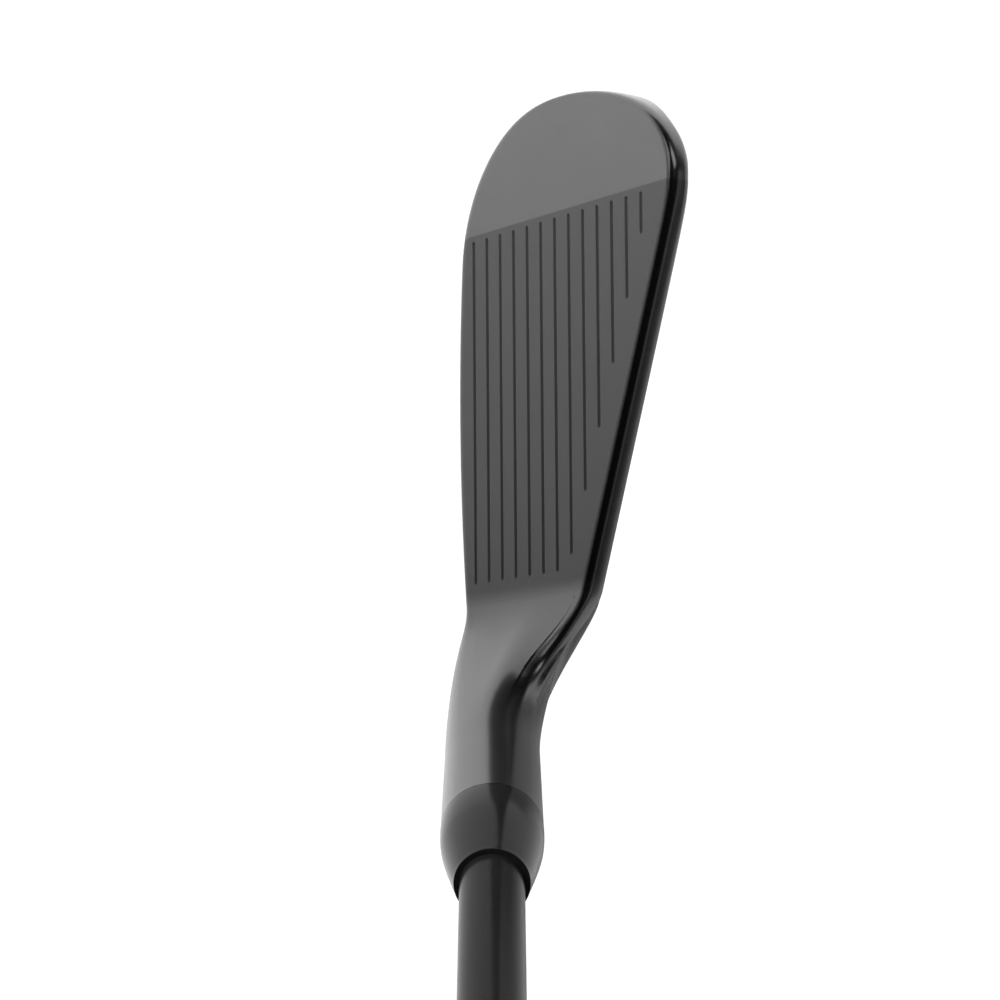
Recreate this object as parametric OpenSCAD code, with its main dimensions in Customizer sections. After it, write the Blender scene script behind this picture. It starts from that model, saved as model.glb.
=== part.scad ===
// Right-handed iron golf club, stood at address with its sole on the ground.
// +Z is up, -X is the toe, +X is the golfer's side, and the face looks towards -Y.
// The origin is where the sole touches the ground under the middle of the scorelines.

/* [Set-up] */
// loft of the face from the vertical, degrees
loft = 33; // [15:0.5:60]
// lie of the shaft from the ground, degrees
lie = 63; // [55:0.25:70]
// length of the club along the shaft axis, ground to grip end
club_length = 939.8; // [850:0.1:1000]
// how far the line where the face would meet the ground stands in front of the origin
face_setback = 11.281; // [0:0.001:20]
// how far the face datum is lifted so that the sole just touches the ground
ground_gap = 0.649; // [0:0.001:3]

/* [Face outline] */
// toe tip, along the face
toe_a = -42.75; // [-60:0.05:-30]
// toe tip, up the face
toe_s = 29.37; // [10:0.05:40]
// where the top of the toe is highest, along the face
peak_a = -27.3; // [-40:0.05:-10]
// height of the top of the toe up the face
peak_s = 57.22; // [40:0.05:70]
// where the round of the toe runs into the sole line, along the face
sole_a = -22; // [-40:0.05:0]
// leading edge up the face, at the middle
sole_s = 4.62; // [2:0.05:10]
// fall of the topline per mm along the face
topline_slope = 0.418; // [0:0.001:1]
// where the topline bends down from the peak, along the face
topline_bend_a = -24.6; // [-40:0.05:0]
// softness of that bend
topline_bend = 2.6; // [0.1:0.05:10]
// fullness of the upper toe curve
toe_full_upper = 1.95; // [1.5:0.01:3]
// fullness of the lower toe curve
toe_full_lower = 2.12; // [1.5:0.01:3]
// bow of the leading edge, twice its radius
leading_bow = 560; // [200:5:2000]
// heel end of the flat face, along the face
heel_a = 28.5; // [20:0.1:40]

/* [Edge sections] */
// topline section: how far out of the outline, and how far behind the face
top_section = [[0, 0], [0.7, 0], [1.15, 0.8], [1.05, 2.1], [0.85, 3.2], [0.1, 3.95], [-1.4, 4]];
// toe section, same two distances
toe_section = [[0, 0], [0.4, 0], [0.6, 1.2], [0.6, 4], [0.5, 7.2], [-0.6, 8], [-2, 8.2]];
// sole section, same two distances
sole_section = [[0, 0], [1.75, 0], [2.6, 2.8], [0.55, 7.6], [-3.3, 13.2], [-6.6, 17.6], [-10.8, 15.6]];
// back of the blade from topline to sole: share of the height, share of the depth
back_section = [[0, 0], [0.16, 0], [0.42, 0.12], [0.66, 0.5], [0.86, 0.93], [1, 1]];

/* [Heel into hosel] */
// pull along the blade, round the section from the leading edge over the topline to the sole
blade_pull = [0.31, 0.52, 0.81, 0.74, 0.54, 0.37, 0.31, 0.32];
// pull along the hosel, in the same order
hosel_pull = [2.7, 1.66, 2.88, 2.64, 2.39, 1.61, 1.77, 1.35];
// angles round the hosel where face, topline, back and sole arrive
hosel_seats = [57.2, -22, -56.9, -148.2];
// how high up the hosel the round part starts
hosel_start = 39.53; // [30:0.01:55]
// how much higher it starts on the toe side than on the golfer's side
hosel_start_lean = 4.39; // [0:0.01:10]
// how far the blend starts higher on the front side of the hosel
hosel_start_turn = 1.19; // [-5:0.01:5]

/* [Hosel] */
// where the shaft axis meets the ground, along the face
axis_x = 34.182; // [25:0.001:45]
// where the shaft axis meets the ground, front to back
axis_y = -4.616; // [-10:0.001:10]
// top of the hosel along the axis
seam_t = 63.214; // [50:0.01:90]
// radius of the hosel low down
hosel_r_low = 6.55; // [5:0.01:9]
// radius of the hosel at the ferrule
hosel_r_top = 6.85; // [5:0.01:9]
// height along the axis where that taper starts
taper_t = 36.72; // [20:0.1:50]
// radius of the shaft bore
bore_r = 4.36; // [3:0.01:6]
// depth of the shaft bore
bore_depth = 31.75; // [20:0.05:45]

/* [Face plate] */
// half length of the plate along the face
plate_half = 26.35; // [20:0.05:35]
// plate thickness
plate_depth = 2.4; // [1:0.1:5]
// how far the plate stays inside the outline, top and bottom
plate_margin = 0.9; // [0.3:0.05:3]
// number of scorelines
lines = 13; // [5:1:18]
// spacing of the scorelines
line_pitch = 3.6; // [2:0.05:5]
// height of the first scoreline up the face
line_first = 7.87; // [4:0.01:15]
// half length of a full scoreline
line_half = 25.65; // [15:0.05:35]
// distance that a scoreline keeps from the topline, along the face
line_gap = 9.7; // [2:0.05:15]
// width of a scoreline
line_width = 0.78; // [0.3:0.01:1.2]
// depth of a scoreline
line_depth = 0.42; // [0.1:0.01:1]

/* [Inside the head] */
// toe and heel ends of the chamber behind the plate
chamber_a = [-24, 23];
// bottom and top of the chamber up the face
chamber_s = [8, 19];
// how far behind the face the chamber reaches
chamber_depth = 8; // [5:0.1:14]
// corner radius of the chamber
chamber_r = 2; // [0.5:0.1:5]
// length of the weight at the toe end of the chamber
weight_length = 11; // [4:0.1:25]

/* [Back cavity] */
// floor of the cavity behind the face
cavity_floor = 3.4; // [2.8:0.1:8]
// lower edge of the cavity up the face
cavity_s = 21.5; // [15:0.1:30]
// width of the rim round the cavity
cavity_rim = 5; // [2:0.1:10]
// corner radius of the cavity
cavity_r = 3; // [0.5:0.1:6]
// gap between the cavity wall and the badge
badge_gap = 1.6; // [0.2:0.1:5]
// how far the badge stays below the cavity's upper edge
badge_drop = 6; // [0:0.1:15]
// thickness of the badge
badge_thick = 0.8; // [0.3:0.1:3]
// thickness of the pad under the badge
pad_thick = 0.4; // [0.1:0.1:2]

/* [Ferrule] */
// length of the ferrule
ferrule_length = 16; // [8:0.1:40]
// radius of its swell just above the hosel
ferrule_r_swell = 6.9; // [5:0.01:9]
// radius of its upper end
ferrule_r_top = 5; // [4:0.01:8]

/* [Shaft] */
// radius of the shaft tip
tip_r = 4.24; // [3:0.01:6]
// length of the plain tip section
tip_length = 230; // [100:1:400]
// number of steps up the shaft
steps = 13; // [0:1:30]
// spacing of the steps
step_pitch = 44.45; // [20:0.05:60]
// radius of the shaft's butt
butt_r = 7.62; // [6:0.01:10]
// wall of the shaft tube
shaft_wall = 0.5; // [0.3:0.05:2]
// length of the plug in the shaft tip
plug_length = 10; // [3:0.5:30]

/* [Grip] */
// length of the grip with its cap
grip_length = 268; // [200:1:320]
// thickness of the tape under the grip
tape_thick = 0.3; // [0.1:0.05:1]
// radius of the grip at its mouth
grip_r_mouth = 8.4; // [7:0.05:12]
// radius of the grip at the cap
grip_r_butt = 13.3; // [10:0.05:18]
// thickness of the cap
cap_thick = 3.4; // [1:0.1:8]
// depth of the cap's spigot into the grip
spigot = 1; // [0.2:0.1:5]

// inner radius of the cap's ring spigot
spigot_r = 5; // [2:0.1:7]
// radius of the vent through the cap
vent_r = 1.7; // [0.5:0.05:4]

/* [Hidden] */
$fn = 96;
eps = 0.0001;
counts = [7, 9, 9, 13];
butt_t = club_length - cap_thick - spigot;
bore_t = seam_t - bore_depth;
tip_t = bore_t + 0.6;
step_rise = (butt_r - tip_r) / steps;
step_t = tip_t + tip_length;
ferrule_t = seam_t + ferrule_length;
mouth_t = club_length - grip_length;
cap_t = club_length - cap_thick;

// ---- small helpers ----
function limit(x) = min(1, max(0, x));
function ease(x) = limit(x) * limit(x) * (3 - 2 * limit(x));
function mix(p, q, f) = p + (q - p) * f;
function unit(p) = p / norm(p);
function knot(c, k) = k == 0 ? c[0] : k == len(c) - 2 ? c[len(c) - 1] : (c[k] + c[k + 1]) / 2;
function bow(p, q, r, f) = (1 - f) * (1 - f) * p + 2 * f * (1 - f) * q + f * f * r;
function spline_span(c, k, f) = bow(knot(c, k), c[k + 1], knot(c, k + 1), f);
function spline_k(c, f) = min(floor(f * (len(c) - 2)), len(c) - 3);
function spline(c, f) = spline_span(c, spline_k(c, f), f * (len(c) - 2) - spline_k(c, f));

// ---- outline of the face: a runs along it, s up it ----
function toe_share(a, from, full) = pow(1 - pow(limit((from - a) / (from - toe_a)), full), 1 / full);
function topline_fall(k) = topline_slope * (k + sqrt(k * k + topline_bend * topline_bend)) / 2;
function top_lift(a, e) = (peak_s - toe_s) * e - topline_fall(a - topline_bend_a) * e;
function s_top(a) = toe_s + top_lift(a, toe_share(a, peak_a, toe_full_upper));
function s_low(a) = mix(toe_s, sole_s + a * a / leading_bow, toe_share(a, sole_a, toe_full_lower));
function toe_arc(v) = mix(toe_a, peak_a, 1 - cos(90 * v));
function along(v) = v <= 1 ? toe_arc(max(v, 0)) : mix(peak_a, heel_a, v - 1);
function rail(v, up) = [along(v), up ? s_top(along(v)) : s_low(along(v))];
function rail_way(v, up) = unit(rail(v + eps, up) - rail(max(v - eps, 0), up));
function turn_out(d, up) = up ? [-d[1], d[0]] : [d[1], -d[0]];
function rail_out(v, up) = turn_out(rail_way(v, up), up);

// ---- the edge section blends from topline through toe to sole as the outline turns ----
function edge_top(n) = ease(1.35 * n);
function edge_low(n) = ease(-1.15 * n);
function edge_share(n) = 1 - edge_top(n) - edge_low(n);
function edge_mix(n, k) = toe_section[k] * edge_share(n) + top_section[k] * edge_top(n)
    + sole_section[k] * edge_low(n);
function edge_section(n) = [for (k = [0 : len(top_section) - 1]) edge_mix(n, k)];
function edge_at(p, out, e) = [p[0] + out[0] * e[0], p[1] + out[1] * e[0], e[1]];
function edge(v, up, f) = edge_at(rail(v, up), rail_out(v, up), spline(edge_section(rail_out(v, up)[1]), f));

// ---- one closed section of the blade: face, topline, back, sole ----
function inner_share(k, n) = (k + 1) / (n + 1);
function whole_share(k, n) = k / (n - 1);
function face_rung(v, f) = [along(v), mix(rail(v, false)[1], rail(v, true)[1], f), 0];
function back_point(p, q, g) = [mix(p[0], q[0], g[0]), mix(p[1], q[1], g[0]), mix(p[2], q[2], g[1])];
function back_rung(v, f) = back_point(edge(v, true, 1), edge(v, false, 1), spline(back_section, f));
function to_world(p) = [
    p[0],
    p[1] * sin(loft) + p[2] * cos(loft) - face_setback,
    p[1] * cos(loft) - p[2] * sin(loft) + ground_gap
];
function blade_ring(v) = [
    for (k = [0 : counts[0] - 1]) to_world(face_rung(v, inner_share(k, counts[0]))),
    for (k = [0 : counts[1] - 1]) to_world(edge(v, true, whole_share(k, counts[1]))),
    for (k = [0 : counts[2] - 1]) to_world(back_rung(v, inner_share(k, counts[2]))),
    for (k = [0 : counts[3] - 1]) to_world(edge(v, false, 1 - whole_share(k, counts[3])))
];

// ---- the hosel, a round bar on the shaft axis ----
axis = [cos(lie), 0, sin(lie)];
toe_side = [-sin(lie), 0, cos(lie)];
front_side = [0, -1, 0];
foot = [axis_x, axis_y, 0];
round_keys = [
    for (k = [0 : counts[0] - 1]) 2 * inner_share(k, counts[0]),
    for (k = [0 : counts[1] - 1]) 2 + 2 * whole_share(k, counts[1]),
    for (k = [0 : counts[2] - 1]) 4 + 2 * inner_share(k, counts[2]),
    for (k = [0 : counts[3] - 1]) 6 + 2 * whole_share(k, counts[3])
];
function seat(k) = k > 3 ? hosel_seats[0] - 360 : hosel_seats[k];
function seat_angle(q) = let (k = min(floor(q / 2), 3)) mix(seat(k), seat(k + 1), q / 2 - k);
function pull(list, q) = let (k = min(floor(q), 7)) mix(list[k], list[(k + 1) % 8], ease(q - k));
function start_t(g) = hosel_start + hosel_start_lean * cos(g) + hosel_start_turn * sin(g);
function hosel_r(t) = mix(hosel_r_low, hosel_r_top, limit((t - taper_t) / (seam_t - taper_t)));
function hosel_point(t, g) = foot + t * axis + hosel_r(t) * (cos(g) * toe_side + sin(g) * front_side);
function hosel_ring(f) = [
    for (q = round_keys)
        let (g = seat_angle(q))
        hosel_point(mix(start_t(g), seam_t, f), g)
];

// ---- the heel: each point of the last blade section runs in one smooth sweep to the hosel ----
blade_end = blade_ring(2);
blade_near = blade_ring(1.97);
hosel_low = hosel_ring(0);
function sweep(p, dp, q, dq, f) = (2 * pow(f, 3) - 3 * f * f + 1) * p
    + (pow(f, 3) - 2 * f * f + f) * dp
    + (3 * f * f - 2 * pow(f, 3)) * q
    + (pow(f, 3) - f * f) * dq;
function heel_point(k, f) = let (span = norm(hosel_low[k] - blade_end[k])) sweep(
    blade_end[k],
    unit(blade_end[k] - blade_near[k]) * span * pull(blade_pull, round_keys[k]),
    hosel_low[k],
    axis * span * pull(hosel_pull, round_keys[k]),
    f
);
function heel_ring(f) = [for (k = [0 : len(blade_end) - 1]) heel_point(k, f)];

// ---- one skin over all the rings, closed by a fan at each end ----
toe_turns = 14;
blade_turns = 9;
heel_turns = 13;
rings = [
    for (k = [0 : toe_turns - 1]) blade_ring(mix(0.03, 1, k / toe_turns)),
    for (k = [0 : blade_turns]) blade_ring(1 + k / blade_turns),
    for (k = [1 : heel_turns]) heel_ring(k / heel_turns),
    hosel_ring(1)
];
ring_n = len(rings[0]);
function centre(list) = list * [for (k = list) 1] / len(list);
function ring_mean(r) = [for (c = [0 : 2]) [for (p = r) p[c]] * [for (p = r) 1] / len(r)];
skin_points = concat([for (r = rings) each r], [ring_mean(rings[0]), ring_mean(rings[len(rings) - 1])]);
function cell(j, k) = j * ring_n + (k % ring_n);
toe_hub = len(rings) * ring_n;
skin_faces = concat(
    [
        for (j = [0 : len(rings) - 2], k = [0 : ring_n - 1])
            each [
                [cell(j, k), cell(j, k + 1), cell(j + 1, k + 1)],
                [cell(j, k), cell(j + 1, k + 1), cell(j + 1, k)]
            ]
    ],
    [for (k = [0 : ring_n - 1]) [toe_hub, cell(0, k + 1), cell(0, k)]],
    [for (k = [0 : ring_n - 1]) [toe_hub + 1, cell(len(rings) - 1, k), cell(len(rings) - 1, k + 1)]]
);

// ---- placing ----
module on_face(depth = 0) {
    translate([0, -face_setback, ground_gap])
        rotate([90 - loft, 0, 0])
            translate([0, 0, -depth])
                children();
}
module on_axis(t = 0) {
    translate(foot + t * axis)
        rotate([0, 90 - lie, 0])
            children();
}

// ---- flat shapes ----
plate_turns = 24;
function plate_a(k) = mix(-plate_half, plate_half, k / plate_turns);
plate_shape = [
    for (k = [0 : plate_turns]) [plate_a(k), s_low(plate_a(k)) + plate_margin],
    for (k = [plate_turns : -1 : 0]) [plate_a(k), s_top(plate_a(k)) - plate_margin]
];
function inset(v, by) = rail(v, true) - by * rail_out(v, true);
function cavity_shape(rim, low) = [
    [inset(0.3, rim)[0], low],
    for (k = [0 : 22]) inset(mix(0.3, 1.92, k / 22), rim),
    [inset(1.92, rim)[0], low]
];
module rounded_box(p, q, r) {
    translate([p[0], p[1] + r])
        square([q[0] - p[0], q[1] - p[1] - 2 * r]);
    translate([p[0] + r, p[1]])
        square([q[0] - p[0] - 2 * r, q[1] - p[1]]);
    for (x = [p[0] + r, q[0] - r], y = [p[1] + r, q[1] - r])
        translate([x, y])
            circle(r);
}
module cavity_outline(rim, low, r) {
    offset(r)
        offset(delta = -r)
            polygon(cavity_shape(rim, low));
}

// ---- the chassis, one forging with its hosel ----
module head_body() {
    color("#5f6062")
        difference() {
            polyhedron(skin_points, skin_faces, convexity = 8);
            on_face(plate_depth)
                linear_extrude(plate_depth + 1)
                    polygon(plate_shape);
            on_face(chamber_depth)
                linear_extrude(chamber_depth - plate_depth + 0.5)
                    rounded_box([chamber_a[0], chamber_s[0]], [chamber_a[1], chamber_s[1]], chamber_r);
            on_face(30)
                linear_extrude(30 - cavity_floor)
                    cavity_outline(cavity_rim, cavity_s, cavity_r);
            on_axis(bore_t)
                cylinder(h = bore_depth + 1, r = bore_r);
        }
}

// ---- the hitting plate with its scorelines ----
function line_end(s) = min(line_half, (peak_s - s) / topline_slope + topline_bend_a - line_gap);
module scoreline(s) {
    translate([-line_half + line_width / 2, s - line_width / 2])
        square([line_end(s) + line_half - line_width, line_width]);
    for (a = [-line_half + line_width / 2, line_end(s) - line_width / 2])
        translate([a, s])
            circle(line_width / 2, $fn = 24);
}
module face_plate() {
    color("#4a4b4d")
        on_face()
            difference() {
                translate([0, 0, -plate_depth])
                    linear_extrude(plate_depth)
                        polygon(plate_shape);
                for (k = [0 : lines - 1])
                    translate([0, 0, -line_depth])
                        linear_extrude(line_depth + 0.5)
                            scoreline(line_first + k * line_pitch);
            }
}

// ---- what the chamber holds ----
module chamber_slice(from, to) {
    on_face(chamber_depth)
        linear_extrude(chamber_depth - plate_depth)
            intersection() {
                rounded_box([chamber_a[0], chamber_s[0]], [chamber_a[1], chamber_s[1]], chamber_r);
                translate([from, 0])
                    square([to - from, 40]);
            }
}
module toe_weight() {
    color("#8b8d90")
        chamber_slice(chamber_a[0] - 1, chamber_a[0] + weight_length);
}
module damping_core() {
    color("#c9c2b0")
        chamber_slice(chamber_a[0] + weight_length, chamber_a[1] + 1);
}

// ---- badge and pad on the cavity floor ----
module badge_layer(floor_depth, thick) {
    on_face(floor_depth + thick)
        linear_extrude(thick)
            cavity_outline(cavity_rim + badge_drop, cavity_s + badge_gap, cavity_r - 1);
}
module badge_pad() {
    color("#2b2b2d")
        badge_layer(cavity_floor, pad_thick);
}
module cavity_badge() {
    color("#9a9c9f")
        badge_layer(cavity_floor + pad_thick, badge_thick);
}

// ---- shaft fittings in the hosel ----
module hosel_epoxy() {
    color("#b9b49a")
        on_axis(bore_t)
            difference() {
                cylinder(h = bore_depth, r = bore_r);
                translate([0, 0, tip_t - bore_t])
                    cylinder(h = bore_depth, r = tip_r);
            }
}
module ferrule() {
    color("#1b1b1d")
        on_axis(seam_t)
            rotate_extrude()
                polygon([
                    [tip_r, 0],
                    [hosel_r_top, 0],
                    for (k = [0 : 16]) ferrule_edge(k / 16),
                    [tip_r, ferrule_length]
                ]);
}
ferrule_curve = [
    [hosel_r_top + 0.01, 0.2],
    [ferrule_r_swell + 0.06, 2.8],
    [ferrule_r_swell - 0.35, ferrule_length * 0.5],
    [ferrule_r_top, ferrule_length - 0.2]
];
function ferrule_edge(f) = spline(ferrule_curve, f);

// ---- stepped steel tube ----
function step_count(t) = t < step_t ? 0 : min(steps, 1 + floor((t - step_t) / step_pitch));
function shaft_r(t) = tip_r + step_rise * step_count(t);
function step_pair(k, more) = [
    [tip_r + step_rise * (k - 1) + more, step_t + (k - 1) * step_pitch],
    [tip_r + step_rise * k + more, step_t + (k - 1) * step_pitch + 1.2]
];
function steps_over(from, to, more) = [
    for (k = [1 : steps])
        if (step_t + (k - 1) * step_pitch > from && step_t + (k - 1) * step_pitch + 1.2 < to)
            each step_pair(k, more)
];
function shaft_line(from, to, more) = concat(
    [[shaft_r(from) + more, from]],
    steps_over(from, to, more),
    [[shaft_r(to) + more, to]]
);
function reversed(list) = [for (k = [len(list) - 1 : -1 : 0]) list[k]];
function tube_shape(outer, inner) = concat(outer, reversed(inner));
module shaft() {
    color("#161617")
        on_axis()
            rotate_extrude()
                polygon(tube_shape(shaft_line(tip_t, butt_t, 0), shaft_line(tip_t, butt_t, -shaft_wall)));
}
module swing_weight_plug() {
    color("#b08d45")
        on_axis(tip_t)
            cylinder(h = plug_length, r = tip_r - shaft_wall);
}

// ---- grip ----
module grip_tape() {
    color("#d8d4c8")
        on_axis()
            rotate_extrude()
                polygon(tube_shape(
                    shaft_line(mouth_t, butt_t, tape_thick),
                    shaft_line(mouth_t, butt_t, 0)
                ));
}
grip_curve = [
    [grip_r_mouth - 0.8, mouth_t],
    [grip_r_mouth, mouth_t],
    [grip_r_mouth + 0.25, mouth_t + 14],
    [grip_r_mouth + 1.3, mouth_t + 90],
    [grip_r_butt - 2.4, cap_t - 60],
    [grip_r_butt, cap_t - 22],
    [grip_r_butt, cap_t]
];
grip_line = [for (k = [0 : 40]) spline(grip_curve, k / 40)];
module grip_sleeve() {
    color("#19191a")
        on_axis()
            rotate_extrude()
                polygon(tube_shape(
                    grip_line,
                    concat(shaft_line(mouth_t, butt_t, tape_thick), [[butt_r + tape_thick, cap_t]])
                ));
}
cap_curve = [
    [grip_r_butt, 0],
    [grip_r_butt + 0.1, cap_thick * 0.5],
    [grip_r_butt - 0.2, cap_thick],
    [grip_r_butt - 2.4, cap_thick]
];
cap_line = [for (k = [0 : 10]) spline(cap_curve, k / 10)];
module grip_cap() {
    color("#19191a")
        on_axis(cap_t)
            rotate_extrude()
                polygon(concat(
                    [[vent_r, 0], [spigot_r, 0], [spigot_r, -spigot]],
                    [[butt_r + tape_thick, -spigot], [butt_r + tape_thick, 0]],
                    cap_line,
                    [[vent_r, cap_thick]]
                ));
}

head_body();
face_plate();
toe_weight();
damping_core();
badge_pad();
cavity_badge();
hosel_epoxy();
ferrule();
shaft();
swing_weight_plug();
grip_tape();
grip_sleeve();
grip_cap();
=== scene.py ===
"""Iron golf club at address: finished surfaces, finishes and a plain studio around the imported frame."""

import math

import bmesh
import bpy
import numpy as np
from bpy.props import FloatProperty, PointerProperty
from mathutils import Euler, Matrix, Vector


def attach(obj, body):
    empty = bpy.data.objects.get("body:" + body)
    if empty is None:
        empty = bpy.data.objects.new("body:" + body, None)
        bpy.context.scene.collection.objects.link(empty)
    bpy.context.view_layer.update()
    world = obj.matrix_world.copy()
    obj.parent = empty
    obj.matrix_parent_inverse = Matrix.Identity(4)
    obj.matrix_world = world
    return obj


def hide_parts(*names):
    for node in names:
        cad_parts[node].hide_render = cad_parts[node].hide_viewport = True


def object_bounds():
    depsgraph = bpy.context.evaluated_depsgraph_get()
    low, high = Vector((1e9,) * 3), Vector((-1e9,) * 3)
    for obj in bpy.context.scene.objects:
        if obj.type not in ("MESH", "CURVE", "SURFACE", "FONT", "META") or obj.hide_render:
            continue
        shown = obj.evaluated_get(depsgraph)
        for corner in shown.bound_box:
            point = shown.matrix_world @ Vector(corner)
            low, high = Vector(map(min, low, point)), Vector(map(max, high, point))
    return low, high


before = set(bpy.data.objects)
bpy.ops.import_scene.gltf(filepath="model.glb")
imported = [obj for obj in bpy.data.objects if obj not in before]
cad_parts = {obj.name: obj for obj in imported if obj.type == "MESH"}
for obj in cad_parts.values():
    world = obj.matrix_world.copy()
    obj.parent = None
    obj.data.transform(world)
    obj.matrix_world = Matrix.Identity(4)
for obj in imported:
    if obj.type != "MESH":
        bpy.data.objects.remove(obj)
CAD_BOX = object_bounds()

bl_info = {
    "name": "Iron Golf Club",
    "version": (1, 0, 0),
    "blender": (4, 5, 0),
    "location": "3D View > Sidebar > Iron Club",
    "description": "Builds the blade, ferrule, shaft and grip of an iron with their finishes",
    "category": "Add Mesh",
}

MM = 0.001

# ---------------------------------------------------------------------------
# Design sizes of the club, in millimetres, with SEATS in degrees. The letters are: a along the face from
# toe to heel, s up it, w behind it, t along the shaft axis from the ground, and R a radius.
# ---------------------------------------------------------------------------
LOFT = math.radians(33)
LIE = math.radians(63)
SETBACK, LIFT = 11.281, 0.649
TOE_A, TOE_S = -42.75, 29.37
PEAK_A, PEAK_S = -27.3, 57.22
SOLE_A, SOLE_S, BOW = -22.0, 4.62, 560.0
SLOPE, BEND_A, BEND = 0.418, -24.6, 2.6
FULL_UPPER, FULL_LOWER = 1.95, 2.12
HEEL_A = 28.5
TOP_EDGE = np.array([(0, 0), (0.7, 0), (1.15, 0.8), (1.05, 2.1), (0.85, 3.2), (0.1, 3.95), (-1.4, 4)])
TOE_EDGE = np.array([(0, 0), (0.4, 0), (0.6, 1.2), (0.6, 4), (0.5, 7.2), (-0.6, 8), (-2, 8.2)])
SOLE_EDGE = np.array([(0, 0), (1.75, 0), (2.6, 2.8), (0.55, 7.6), (-3.3, 13.2), (-6.6, 17.6), (-10.8, 15.6)])
BACK_LINE = np.array([(0, 0), (0.16, 0), (0.42, 0.12), (0.66, 0.5), (0.86, 0.93), (1, 1)])
BLADE_PULL = np.array([0.31, 0.52, 0.81, 0.74, 0.54, 0.37, 0.31, 0.32])
HOSEL_PULL = np.array([2.7, 1.66, 2.88, 2.64, 2.39, 1.61, 1.77, 1.35])
SEATS = np.array([57.2, -22.0, -56.9, -148.2, -302.8])
START_T, START_LEAN, START_TURN = 39.53, 4.39, 1.19
FOOT = np.array([34.182, -4.616, 0.0])
AXIS = np.array([math.cos(LIE), 0, math.sin(LIE)])
TOE_SIDE = np.array([-math.sin(LIE), 0, math.cos(LIE)])
FRONT_SIDE = np.array([0.0, -1, 0])
SEAM_T, TAPER_T = 63.214, 36.72
HOSEL_R_LOW, HOSEL_R_TOP = 6.55, 6.85
BORE_R, BORE_DEPTH = 4.36, 31.75
CLUB_LENGTH, TIP_R, BUTT_R, WALL = 939.8, 4.24, 7.62, 0.5
STEPS, STEP_PITCH, STEP_RUN, TIP_LENGTH = 13, 44.45, 1.2, 230.0
FERRULE_LENGTH = 16.0
FERRULE_BASE = 6.8
FERRULE_SIDE = np.array([(6.86, 0.2), (6.96, 2.8), (6.55, 8.0), (5.06, 15.5)])
FERRULE_LIP = np.array([(5.06, 15.5), (5.0, 16.0), (4.9, 16.0), (4.7, 16.0)])
GRIP_LENGTH, GRIP_R_MOUTH, GRIP_R_BUTT, CAP_THICK, SPIGOT, TAPE = 268.0, 8.4, 13.3, 3.4, 1.0, 0.3
BUTT_T = CLUB_LENGTH - CAP_THICK - SPIGOT
TIP_T = SEAM_T - BORE_DEPTH + 0.6
MOUTH_T, CAP_T = CLUB_LENGTH - GRIP_LENGTH, CLUB_LENGTH - CAP_THICK
VENT_R, SPIGOT_R = 1.7, 5.0
CAP_EDGE = np.array([(13.3, 0), (13.4, 1.7), (13.1, 3.4), (10.9, 3.4)])
CAP_RINGS = np.array(
    [(10.2, 3.4), (10.0, 3.15), (9.6, 3.15), (9.4, 3.4), (7.0, 3.4), (6.8, 3.1), (6.3, 3.1), (6.1, 3.4)]
)
PLATE_HALF, PLATE_DEPTH, PLATE_MARGIN = 26.35, 2.4, 0.9
LINES, LINE_FIRST_S, LINE_END, LINE_GAP = 13, 7.87, 25.65, 9.7
CAVITY_FLOOR, CAVITY_S, CAVITY_RIM = 3.4, 21.5, 5.0
CAVITY_TOE, CAVITY_HEEL, CAVITY_ROUND, CAVITY_WALL = -35.6, 24.2, 1.1, 1.5
TOE_LIMIT = (-26.2, -26.5)  # where the blasted face gives way to the satin toe
HEEL_LIMIT = (26.4, 29.5)  # where it gives way to the polished heel
AXIS_TURN = LIE - math.pi / 2  # turns a pattern about Y so that its Z runs along the shaft
SEAM_GAP = 0.002  # between the two section lines that make one sharp step, in mm
EDGE_LINES, FACE_LINES = 40, 44  # points round an edge, and up the face between the plate's sides

# Studio
FLOOR_HALF, FLOOR_DROP = 4000.0, 0.02
CAMERA_LENS = 132.18
CAMERA_PLACE = (76.539, -2.2, 544.246)
CAMERA_TILT, CAMERA_ROLL, CAMERA_TURN = 6.740, 0.176, 89.579  # degrees about X, Y and Z, from straight down


# ---------------------------------------------------------------------------
# Formulas
# ---------------------------------------------------------------------------
def ease(x):
    """0 below 0, 1 above 1, and 3x^2 - 2x^3 between."""
    x = np.clip(x, 0, 1)
    return x * x * (3 - 2 * x)


def mix(p, q, f):
    """p at f = 0, q at f = 1, straight between."""
    return p + (q - p) * f


def spline(ctrl, f):
    """Quadratic curve that starts and ends on the control polygon ctrl (..., K, D) and touches the middle of
    each inner side. f (m,) runs from 0 to 1."""
    n = ctrl.shape[-2] - 2
    k = np.minimum((f * n).astype(int), n - 1)
    g = (f * n - k)[..., None]
    middle = (ctrl[..., 1:-2, :] + ctrl[..., 2:-1, :]) / 2
    knots = np.concatenate([ctrl[..., :1, :], middle, ctrl[..., -1:, :]], -2)
    first, pull, last = knots[..., k, :], ctrl[..., k + 1, :], knots[..., k + 1, :]
    return (1 - g) ** 2 * first + 2 * g * (1 - g) * pull + g * g * last


def from_face(a, s, w):
    """Point a along the face, s up it and w behind it, in the club's frame."""
    a, s, w = np.broadcast_arrays(a, s, w)
    y = s * math.sin(LOFT) + w * math.cos(LOFT) - SETBACK
    z = s * math.cos(LOFT) - w * math.sin(LOFT) + LIFT
    return np.stack([a, y, z], -1)


def top_rail(a):
    """Upper outline: a superellipse quarter round the toe, then a straight fall with a soft bend."""
    x = np.clip((PEAK_A - a) / (PEAK_A - TOE_A), 0, 1)
    e = (1 - x**FULL_UPPER) ** (1 / FULL_UPPER)
    k = a - BEND_A
    return TOE_S + ((PEAK_S - TOE_S) - SLOPE * (k + np.sqrt(k * k + BEND * BEND)) / 2) * e


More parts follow.
